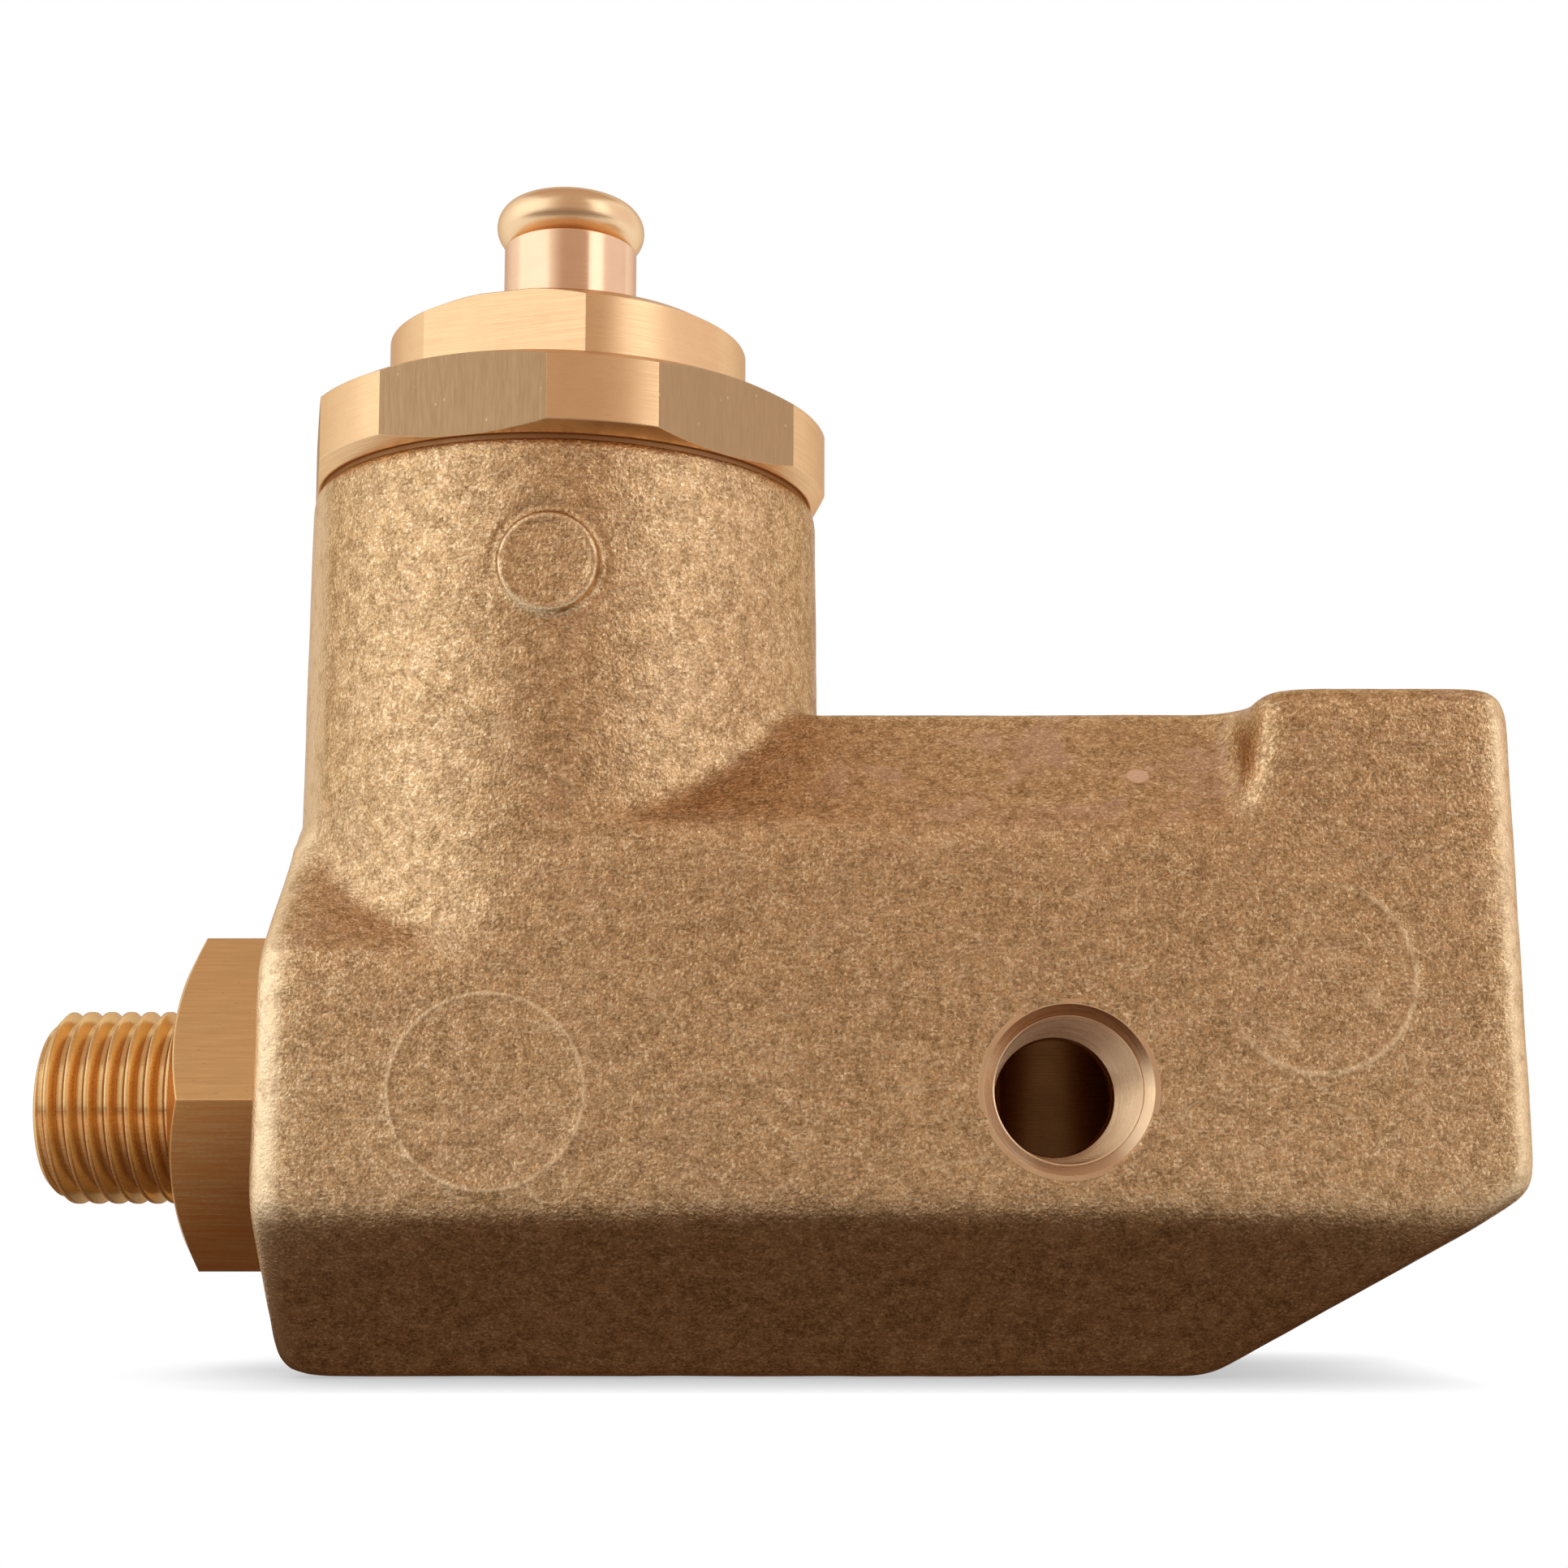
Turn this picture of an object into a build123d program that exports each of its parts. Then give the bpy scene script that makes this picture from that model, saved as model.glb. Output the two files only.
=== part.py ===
from build123d import *
from math import radians, sqrt, tan
import os

# Pressure relief valve: a spring-loaded poppet valve in a cast brass body, with a male inlet
# nipple, a front port, a bottom outlet and a spindle that lifts the poppet by hand.
# Millimetres. The origin is on the base, straight below the spindle axis.
# +X runs towards the long end of the body, -Y is the front face, +Z is up.

# ---------------------------------------------------------------- driving dimensions
# cast body, long block
block_half_depth = 17.9
block_height = 43.7
block_length = 79.35
left_end_inset = 0.5
left_lean = 0.8
right_lean = 2.0
shoulder_step = 7.7
base_slope_rise = 10.5
shoulder_slope_rise = 9.2
slope_run = 9.2
square_corner_length = 16.0
heel_knee_z = 12.0
heel_foot_x = 43.3
casting_round = 1.8

# cast body, upright barrel that holds the valve
barrel_set_in = 0.45
barrel_foot_z = 24.0
barrel_draft = 0.8
barrel_rim_round = 1.0
step_low_x = -6.5
step_high_x = 4.2
shoulder_overlap = 1.6
body_top_z = 59.8
pad_radius = 3.2
pad_height = 0.4
pad_x = 1.0
pad_z = 51.3

# valve chamber
chamber_radius = 12.2
chamber_floor_z = 27.0
bonnet_thread_radius = 13.0
bonnet_thread_length = 10.0
mouth_seal_radius = 13.2
mouth_seal_depth = 2.4

# flow passages
flow_axis_z = 17.8
inlet_bore_radius = 4.0
seat_passage_radius = 4.6
cross_passage_radius = 3.4
cross_passage_z = 31.5
outlet_x = 33.4
outlet_bore_radius = 4.8
outlet_bore_top_z = 36.0
outlet_thread_radius = 5.72
outlet_thread_length = 11.0
port_chamfer = 0.7
front_port_z = 18.2
front_port_radius = 4.7
front_port_depth = 11.2
front_port_throat_radius = 3.9
drill_point_angle = 59.0

# inlet nipple
pipe_thread_radius = 6.5785
pipe_thread_pitch = 1.337
pipe_thread_depth = 0.856
ridge_foot_share = 0.86
ridge_crest_width = 0.24
ridge_sink = 0.15
ridge_lead_turns = 1.3
thread_tip_inset = 0.1
inlet_thread_length = 10.4
nipple_hex_flats = 22.0
nipple_hex_length = 6.3
hex_face_inset = 0.2
nipple_bore_radius = 3.5
nipple_spigot_length = 7.8
spot_face_depth = 0.45
spot_face_radius = 13.0
washer_thickness = 1.1
washer_outer_radius = 9.8
washer_inner_radius = 6.8

# bonnet
flange_overhang = 0.7
flange_corner_cut = 1.9
flange_height = 5.4
turned_cone_angle = 30.0
flange_chamfer_radial = 1.0
collar_diameter = 24.9
collar_flats = 22.0
collar_height = 6.4
collar_chamfer_radial = 1.3
hex_turn = 14.0
ceiling_rise = 1.0
spring_bore_radius = 10.2
gland_radius = 7.0
gland_lip = 2.4

# spindle and its seals
stem_radius = 4.65
head_radius = 5.2
head_bead = 1.65
head_centre_rise = 8.5
rod_radius = 3.0
tail_radius = 2.0
stop_radius = 6.2
stop_thickness = 1.6
lift = 3.0
lift_margin = 0.2
ring_section = 1.8
circlip_rise = 0.3
circlip_thickness = 1.0
circlip_groove_depth = 0.5
circlip_width = 1.9
circlip_gap = 4.0
gland_washer_thickness = 0.8
stem_hole_gap = 0.1
tail_overrun = 0.5
ring_rest = 0.3

# poppet and seat
seat_orifice_radius = 5.2
seat_lip_width = 0.8
seat_lip_height = 1.0
seat_flange_radius = 9.6
seat_flange_thickness = 1.0
seat_spigot_radius = 8.2
seat_spigot_length = 4.0
seat_ring_section = 1.3
disc_radius = 7.0
disc_thickness = 2.4
disc_stand = 0.2
poppet_nose_radius = 8.2
poppet_nose_height = 5.6
poppet_flange_thickness = 3.0
poppet_web = 2.4
flange_side_gap = 0.4
guide_ring_height = 1.6
guide_ring_depth = 1.2
disc_washer_radius = 3.8
disc_washer_thickness = 0.8
disc_nut_flats = 7.0
disc_nut_height = 2.2
lock_nut_flats = 10.0
lock_nut_height = 3.2

# spring and its plates
wire_radius = 1.1
spring_mean_radius = 8.0
spring_turns = 5.5
lower_plate_thickness = 1.0
upper_plate_thickness = 1.5
upper_plate_spigot = 0.9
shim_thickness = 0.5
shim_overlap = 0.6
plate_radius = 9.7

# fits: radial gaps between round parts
running_gap = 0.05
thread_gap = 0.05
loose_gap = 0.3

# how far cuts run past the faces they open, and how closely edges are picked
overcut = 1.0
spot_face_cut = 5.0
pick_margin = 0.5
pick_tolerance = 0.01

# ---------------------------------------------------------------- derived places
barrel_top_radius = block_half_depth - barrel_set_in
block_left_x = left_end_inset - barrel_top_radius
block_right_x = block_left_x + block_length
left_shoulder_z = block_height - shoulder_step
shoulder_end_x = step_low_x + shoulder_overlap
block_left_top_x = block_left_x + left_shoulder_z * tan(radians(left_lean))
block_right_top_x = block_right_x - (block_height - heel_knee_z) * tan(radians(right_lean))
square_corner_x = block_right_top_x - square_corner_length
right_slope_z = block_height - shoulder_slope_rise
left_slope_z = left_shoulder_z - shoulder_slope_rise
barrel_foot_radius = barrel_top_radius + (body_top_z - barrel_foot_z) * tan(radians(barrel_draft))

seat_flange_top_z = chamber_floor_z + seat_flange_thickness
seat_face_z = seat_flange_top_z + seat_lip_height
poppet_base_z = seat_face_z + disc_stand
poppet_shoulder_z = poppet_base_z + poppet_nose_height
poppet_top_z = poppet_shoulder_z + poppet_flange_thickness
spring_low_z = poppet_top_z + lower_plate_thickness
ceiling_z = body_top_z + ceiling_rise
upper_plate_z = ceiling_z - shim_thickness - upper_plate_thickness
spring_length = upper_plate_z - spring_low_z
flange_top_z = body_top_z + flange_height
collar_top_z = flange_top_z + collar_height
ring_gland_top_z = collar_top_z - gland_lip
ring_gland_z = ring_gland_top_z - ring_section
ring_gland_radius = stem_radius + ring_section
bush_top_z = ring_gland_z - gland_washer_thickness
circlip_z = ceiling_z + circlip_rise
bush_z = circlip_z + circlip_thickness
head_centre_z = collar_top_z + head_centre_rise
stop_top_z = upper_plate_z - upper_plate_spigot - lift - lift_margin
disc_washer_z = seat_face_z - disc_washer_thickness
disc_nut_z = disc_washer_z - disc_nut_height
disc_top_z = seat_face_z + disc_thickness
rod_foot_z = disc_top_z + poppet_web
seat_groove_radius = seat_spigot_radius - seat_ring_section
seat_groove_z = chamber_floor_z - seat_spigot_length / 2 - seat_ring_section / 2
poppet_flange_radius = chamber_radius - flange_side_gap
guide_groove_radius = chamber_radius - running_gap - guide_ring_depth
guide_ring_z = poppet_shoulder_z + (poppet_flange_thickness - guide_ring_height) / 2
head_flat_radius = head_radius - head_bead
flange_diameter = 2 * (barrel_top_radius + flange_overhang)
flange_flats = flange_diameter - flange_corner_cut
flange_face_radius = flange_diameter / 2 - flange_chamfer_radial
flange_cone_radius = flange_face_radius + flange_height / tan(radians(turned_cone_angle))
collar_face_radius = collar_diameter / 2 - collar_chamfer_radial
collar_cone_foot_z = collar_top_z - (collar_chamfer_radial + overcut) * tan(
    radians(turned_cone_angle)
)
coil_rise = spring_length - 2 * wire_radius

spot_face_x = block_left_x + spot_face_depth
hex_start_x = spot_face_x - washer_thickness - nipple_hex_length
thread_tip_x = hex_start_x - inlet_thread_length
spigot_tip_x = spot_face_x + nipple_spigot_length

pipe_thread_core_radius = pipe_thread_radius - pipe_thread_depth
ridge_foot_width = ridge_foot_share * pipe_thread_pitch
ridge_lead = ridge_lead_turns * pipe_thread_pitch


def hex_radius(flats):
    """Distance from a hexagon's centre to its corners."""
    return flats / sqrt(3)


# ---------------------------------------------------------------- cast body
with BuildPart() as valve_body:
    # long block, with its square outline seen from the front
    with BuildSketch(Plane.XZ):
        with BuildLine():
            Polyline(
                (step_low_x, 0),
                (step_low_x, left_slope_z),
                (step_high_x, right_slope_z),
                (step_high_x, block_height),
                (block_right_top_x, block_height),
                (block_right_x, heel_knee_z),
                (heel_foot_x, 0),
                close=True,
            )
        make_face()
    extrude(amount=block_half_depth, both=True)

    # upper slopes, which stop short of the square corner at the outlet end
    for side in (-1, 1):
        with BuildSketch(Plane.YZ.offset(step_low_x - overcut)):
            with BuildLine():
                Polyline(
                    (side * block_half_depth, right_slope_z),
                    (side * (block_half_depth - slope_run), block_height),
                    (side * (block_half_depth - slope_run), block_height + overcut),
                    (side * (block_half_depth + overcut), block_height + overcut),
                    (side * (block_half_depth + overcut), right_slope_z),
                    close=True,
                )
            make_face()
        extrude(amount=square_corner_x - step_low_x + overcut, mode=Mode.SUBTRACT)

    # lower shoulder at the inlet end, with slopes of its own
    with BuildSketch(Plane.XZ):
        with BuildLine():
            Polyline(
                (block_left_x, 0),
                (block_left_top_x, left_shoulder_z),
                (shoulder_end_x, left_shoulder_z),
                (shoulder_end_x, 0),
                close=True,
            )
        make_face()
    extrude(amount=block_half_depth, both=True)
    for side in (-1, 1):
        with BuildSketch(Plane.YZ.offset(block_left_x - overcut)):
            with BuildLine():
                Polyline(
                    (side * block_half_depth, left_slope_z),
                    (side * (block_half_depth - slope_run), left_shoulder_z),
                    (side * (block_half_depth - slope_run), left_shoulder_z + overcut),
                    (side * (block_half_depth + overcut), left_shoulder_z + overcut),
                    (side * (block_half_depth + overcut), left_slope_z),
                    close=True,
                )
            make_face()
        extrude(amount=shoulder_end_x - block_left_x + overcut, mode=Mode.SUBTRACT)

    # slopes along the base
    for side in (-1, 1):
        with BuildSketch(Plane.YZ.offset(block_left_x - overcut)):
            with BuildLine():
                Polyline(
                    (side * block_half_depth, base_slope_rise),
                    (side * (block_half_depth - slope_run), 0),
                    (side * (block_half_depth - slope_run), -overcut),
                    (side * (block_half_depth + overcut), -overcut),
                    (side * (block_half_depth + overcut), base_slope_rise),
                    close=True,
                )
            make_face()
        extrude(amount=block_length + 2 * overcut, mode=Mode.SUBTRACT)

    # cast edges: everything but the step that the barrel covers
    cast_edges = valve_body.edges().filter_by(
        lambda edge: not (
            step_low_x - pick_margin < edge.center().X < step_high_x + pick_margin
            and edge.center().Z > left_slope_z - pick_margin
        )
    )
    fillet(cast_edges, radius=casting_round)

    # upright barrel, drafted towards its rim
    with BuildSketch(Plane.XY.offset(barrel_foot_z)):
        Circle(barrel_foot_radius)
    extrude(amount=body_top_z - barrel_foot_z, taper=barrel_draft)
    rim_edge = valve_body.edges().filter_by(GeomType.CIRCLE).sort_by(Axis.Z)[-1]
    fillet(rim_edge, radius=barrel_rim_round)

    # round cast pad on the front of the barrel
    with BuildSketch(Plane.XZ):
        with Locations((pad_x, pad_z)):
            Circle(pad_radius)
    extrude(amount=barrel_top_radius + pad_height)

    # valve chamber, its bonnet thread and the sealing mouth
    with BuildSketch(Plane.XY.offset(chamber_floor_z)):
        Circle(chamber_radius)
    extrude(amount=body_top_z - chamber_floor_z, mode=Mode.SUBTRACT)
    with BuildSketch(Plane.XY.offset(body_top_z - bonnet_thread_length)):
        Circle(bonnet_thread_radius)
    extrude(amount=bonnet_thread_length, mode=Mode.SUBTRACT)
    with BuildSketch(Plane.XY.offset(body_top_z - mouth_seal_depth)):
        Circle(mouth_seal_radius)
    extrude(amount=mouth_seal_depth, mode=Mode.SUBTRACT)

    # seat counterbore and the passage up to it
    with BuildSketch(Plane.XY.offset(chamber_floor_z - seat_spigot_length)):
        Circle(seat_spigot_radius)
    extrude(amount=seat_spigot_length, mode=Mode.SUBTRACT)
    with BuildSketch(Plane.XY.offset(flow_axis_z)):
        Circle(seat_passage_radius)
    extrude(amount=chamber_floor_z - flow_axis_z, mode=Mode.SUBTRACT)

    # inlet: spot face, tapped hole for the nipple and the bore to the seat
    with BuildSketch(Plane.YZ.offset(spot_face_x)):
        with Locations((0, flow_axis_z)):
            Circle(spot_face_radius)
    extrude(amount=-spot_face_cut, mode=Mode.SUBTRACT)
    with BuildSketch(Plane.YZ.offset(spot_face_x)):
        with Locations((0, flow_axis_z)):
            Circle(pipe_thread_radius)
    extrude(amount=nipple_spigot_length + port_chamfer, mode=Mode.SUBTRACT)
    with BuildSketch(Plane.YZ.offset(spot_face_x)):
        with Locations((0, flow_axis_z)):
            Circle(inlet_bore_radius)
    extrude(amount=seat_passage_radius - spot_face_x, mode=Mode.SUBTRACT)

    # outlet: tapped hole in the base, rising to the cross passage from the chamber
    with BuildSketch(Plane.XY):
        with Locations((outlet_x, 0)):
            Circle(outlet_thread_radius)
    extrude(amount=outlet_thread_length, mode=Mode.SUBTRACT)
    with BuildSketch(Plane.XY):
        with Locations((outlet_x, 0)):
            Circle(outlet_bore_radius)
    extrude(amount=outlet_bore_top_z, mode=Mode.SUBTRACT)
    with BuildSketch(Plane.YZ.offset(chamber_radius / 2)):
        with Locations((0, cross_passage_z)):
            Circle(cross_passage_radius)
    extrude(amount=outlet_x - chamber_radius / 2, mode=Mode.SUBTRACT)
    outlet_mouth = (
        valve_body.edges()
        .filter_by(GeomType.CIRCLE)
        .filter_by(lambda edge: abs(edge.radius - outlet_thread_radius) < pick_tolerance)
        .sort_by(Axis.Z)[0]
    )
    chamfer(outlet_mouth, length=port_chamfer)

    # front port: chamfered bore, drill point and the throat into the outlet bore
    with BuildSketch(Plane.XZ.offset(block_half_depth)):
        with Locations((outlet_x, front_port_z)):
            Circle(front_port_radius)
    extrude(amount=-front_port_depth, mode=Mode.SUBTRACT)
    front_mouth = (
        valve_body.edges()
        .filter_by(GeomType.CIRCLE)
        .filter_by(lambda edge: abs(edge.radius - front_port_radius) < pick_tolerance)
        .sort_by(Axis.Y)[0]
    )
    chamfer(front_mouth, length=port_chamfer)
    drill_point = Plane(
        origin=(outlet_x, front_port_depth - block_half_depth, front_port_z), z_dir=(0, 1, 0)
    )
    with Locations(drill_point):
        Cone(
            front_port_radius,
            front_port_throat_radius,
            (front_port_radius - front_port_throat_radius) / tan(radians(drill_point_angle)),
            align=(Align.CENTER, Align.CENTER, Align.MIN),
            mode=Mode.SUBTRACT,
        )
    with BuildSketch(Plane.XZ):
        with Locations((outlet_x, front_port_z)):
            Circle(front_port_throat_radius)
    extrude(amount=block_half_depth - front_port_depth + overcut, mode=Mode.SUBTRACT)
valve_body.part.label = "valve_body"

# ---------------------------------------------------------------- inlet side
# ridge of the male pipe thread, a trapezoid swept along a right-handed helix up +Z
with BuildPart() as thread_ridge:
    with BuildLine():
        ridge_path = Helix(
            pipe_thread_pitch, inlet_thread_length + 2 * ridge_lead, pipe_thread_core_radius
        )
    with BuildSketch(Plane(origin=ridge_path @ 0, x_dir=(1, 0, 0), z_dir=ridge_path % 0)):
        with BuildLine():
            Polyline(
                (-ridge_sink, -ridge_foot_width / 2),
                (pipe_thread_depth, -ridge_crest_width / 2),
                (pipe_thread_depth, ridge_crest_width / 2),
                (-ridge_sink, ridge_foot_width / 2),
                close=True,
            )
        make_face()
    sweep(path=ridge_path, is_frenet=True)

with BuildPart() as nipple_hex:
    with BuildSketch(Plane.YZ.offset(hex_start_x)):
        with Locations((0, flow_axis_z)):
            RegularPolygon(nipple_hex_flats / 2, 6, major_radius=False)
    extrude(amount=nipple_hex_length)
    with Locations(Plane(origin=(hex_start_x, 0, flow_axis_z), z_dir=(1, 0, 0))):
        Cone(
            nipple_hex_flats / 2 - hex_face_inset,
            nipple_hex_flats / 2 - hex_face_inset + nipple_hex_length * tan(radians(60)),
            nipple_hex_length,
            align=(Align.CENTER, Align.CENTER, Align.MIN),
            mode=Mode.INTERSECT,
        )

with BuildPart() as inlet_nipple:
    # threaded stub with its ridge, chamfered at the tip
    with BuildSketch(Plane.YZ.offset(hex_start_x)):
        with Locations((0, flow_axis_z)):
            Circle(pipe_thread_core_radius)
    extrude(amount=-inlet_thread_length)
    with Locations(Plane(origin=(hex_start_x + ridge_lead, 0, flow_axis_z), z_dir=(-1, 0, 0))):
        add(thread_ridge.part)
    with Locations(Plane(origin=(thread_tip_x, 0, flow_axis_z), z_dir=(1, 0, 0))):
        Cone(
            pipe_thread_core_radius - thread_tip_inset,
            pipe_thread_core_radius - thread_tip_inset + inlet_thread_length,
            inlet_thread_length,
            align=(Align.CENTER, Align.CENTER, Align.MIN),
            mode=Mode.INTERSECT,
        )
    # spigot screwed into the body
    with BuildSketch(Plane.YZ.offset(hex_start_x)):
        with Locations((0, flow_axis_z)):
            Circle(pipe_thread_radius - thread_gap)
    extrude(amount=spigot_tip_x - hex_start_x)
    # hexagon with its corners to the front and back, chamfered at the thread end
    add(nipple_hex.part)
    # bore through the whole piece
    with BuildSketch(Plane.YZ.offset(thread_tip_x)):
        with Locations((0, flow_axis_z)):
            Circle(nipple_bore_radius)
    extrude(amount=spigot_tip_x - thread_tip_x, mode=Mode.SUBTRACT)
inlet_nipple.part.label = "inlet_nipple"

with BuildPart() as nipple_washer:
    with BuildSketch(Plane.YZ.offset(spot_face_x)):
        with Locations((0, flow_axis_z)):
            Circle(washer_outer_radius)
            Circle(washer_inner_radius, mode=Mode.SUBTRACT)
    extrude(amount=-washer_thickness)
nipple_washer.part.label = "nipple_washer"

# ---------------------------------------------------------------- seat
with BuildPart() as seat_ring:
    with BuildSketch(Plane.XZ):
        with BuildLine():
            Polyline(
                (seat_orifice_radius, chamber_floor_z - seat_spigot_length),
                (seat_spigot_radius - thread_gap, chamber_floor_z - seat_spigot_length),
                (seat_spigot_radius - thread_gap, seat_groove_z),
                (seat_groove_radius, seat_groove_z),
                (seat_groove_radius, seat_groove_z + seat_ring_section),
                (seat_spigot_radius - thread_gap, seat_groove_z + seat_ring_section),
                (seat_spigot_radius - thread_gap, chamber_floor_z),
                (seat_flange_radius, chamber_floor_z),
                (seat_flange_radius, seat_flange_top_z),
                (seat_orifice_radius + seat_lip_width + seat_lip_height, seat_flange_top_z),
                (seat_orifice_radius + seat_lip_width, seat_face_z),
                (seat_orifice_radius, seat_face_z),
                close=True,
            )
        make_face()
    revolve(axis=Axis.Z)
seat_ring.part.label = "seat_ring"

with BuildPart() as seat_o_ring:
    with BuildSketch(Plane.XZ):
        with Locations((seat_groove_radius + seat_ring_section / 2, seat_groove_z + seat_ring_section / 2)):
            Circle(seat_ring_section / 2)
    revolve(axis=Axis.Z)
seat_o_ring.part.label = "seat_o_ring"

# ---------------------------------------------------------------- poppet group
with BuildPart() as poppet:
    with BuildSketch(Plane.XZ):
        with BuildLine():
            Polyline(
                (tail_radius + running_gap, disc_top_z),
                (disc_radius + running_gap, disc_top_z),
                (disc_radius + running_gap, poppet_base_z),
                (poppet_nose_radius, poppet_base_z),
                (poppet_nose_radius, poppet_shoulder_z),
                (poppet_flange_radius, poppet_shoulder_z),
                (poppet_flange_radius, guide_ring_z),
                (guide_groove_radius, guide_ring_z),
                (guide_groove_radius, guide_ring_z + guide_ring_height),
                (poppet_flange_radius, guide_ring_z + guide_ring_height),
                (poppet_flange_radius, poppet_top_z),
                (rod_radius + thread_gap, poppet_top_z),
                (rod_radius + thread_gap, rod_foot_z),
                (tail_radius + running_gap, rod_foot_z),
                close=True,
            )
        make_face()
    revolve(axis=Axis.Z)
poppet.part.label = "poppet"

with BuildPart() as guide_ring:
    with BuildSketch(Plane.XY.offset(guide_ring_z)):
        Circle(chamber_radius - running_gap)
        Circle(guide_groove_radius, mode=Mode.SUBTRACT)
    extrude(amount=guide_ring_height)
guide_ring.part.label = "guide_ring"

with BuildPart() as seat_disc:
    with BuildSketch(Plane.XY.offset(seat_face_z)):
        Circle(disc_radius)
        Circle(tail_radius + running_gap, mode=Mode.SUBTRACT)
    extrude(amount=disc_thickness)
seat_disc.part.label = "seat_disc"

with BuildPart() as disc_washer:
    with BuildSketch(Plane.XY.offset(disc_washer_z)):
        Circle(disc_washer_radius)
        Circle(tail_radius + running_gap, mode=Mode.SUBTRACT)
    extrude(amount=disc_washer_thickness)
disc_washer.part.label = "disc_washer"

with BuildPart() as disc_nut:
    with BuildSketch(Plane.XY.offset(disc_nut_z)):
        RegularPolygon(disc_nut_flats / 2, 6, major_radius=False)
        Circle(tail_radius + thread_gap, mode=Mode.SUBTRACT)
    extrude(amount=disc_nut_height)
disc_nut.part.label = "disc_nut"

with BuildPart() as spindle_lock_nut:
    with BuildSketch(Plane.XY.offset(poppet_top_z)):
        RegularPolygon(lock_nut_flats / 2, 6, major_radius=False)
        Circle(rod_radius + thread_gap, mode=Mode.SUBTRACT)
    extrude(amount=lock_nut_height)
spindle_lock_nut.part.label = "spindle_lock_nut"

with BuildPart() as lift_spindle:
    with BuildSketch(Plane.XZ):
        with BuildLine():
            Polyline(
                (head_flat_radius, head_centre_z + head_bead),
                (0, head_centre_z + head_bead),
                (0, disc_nut_z - tail_overrun),
                (tail_radius, disc_nut_z - tail_overrun),
                (tail_radius, rod_foot_z),
                (rod_radius, rod_foot_z),
                (rod_radius, stop_top_z - stop_thickness),
                (stop_radius, stop_top_z - stop_thickness),
                (stop_radius, stop_top_z),
                (stem_radius, stop_top_z),
                (stem_radius, head_centre_z - head_bead),
                (head_flat_radius, head_centre_z - head_bead),
            )
            ThreePointArc(
                (head_flat_radius, head_centre_z - head_bead),
                (head_radius, head_centre_z),
                (head_flat_radius, head_centre_z + head_bead),
            )
        make_face()
    revolve(axis=Axis.Z)
lift_spindle.part.label = "lift_spindle"

# ---------------------------------------------------------------- spring and plates
with BuildPart() as lower_spring_plate:
    with BuildSketch(Plane.XY.offset(poppet_top_z)):
        Circle(plate_radius)
        Circle(hex_radius(lock_nut_flats) + loose_gap, mode=Mode.SUBTRACT)
    extrude(amount=lower_plate_thickness)
lower_spring_plate.part.label = "lower_spring_plate"

with BuildPart() as relief_spring:
    with BuildLine():
        coil_path = Helix(
            coil_rise / spring_turns,
            coil_rise,
            spring_mean_radius,
            center=(0, 0, spring_low_z + wire_radius),
        )
    with BuildSketch(Plane(origin=coil_path @ 0, x_dir=(1, 0, 0), z_dir=coil_path % 0)):
        Circle(wire_radius)
    sweep(path=coil_path, is_frenet=True)
relief_spring.part.label = "relief_spring"

with BuildPart() as upper_spring_plate:
    with BuildSketch(Plane.XY.offset(upper_plate_z)):
        Circle(plate_radius)
    extrude(amount=upper_plate_thickness)
    with BuildSketch(Plane.XY.offset(upper_plate_z)):
        Circle(spring_mean_radius - wire_radius - loose_gap)
    extrude(amount=-upper_plate_spigot)
    with BuildSketch(Plane.XY.offset(upper_plate_z - upper_plate_spigot)):
        Circle(stem_radius + loose_gap)
    extrude(amount=upper_plate_spigot + upper_plate_thickness, mode=Mode.SUBTRACT)
upper_spring_plate.part.label = "upper_spring_plate"

with BuildPart() as setting_shim:
    with BuildSketch(Plane.XY.offset(ceiling_z - shim_thickness)):
        Circle(plate_radius)
        Circle(gland_radius + shim_overlap, mode=Mode.SUBTRACT)
    extrude(amount=shim_thickness)
setting_shim.part.label = "setting_shim"

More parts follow.
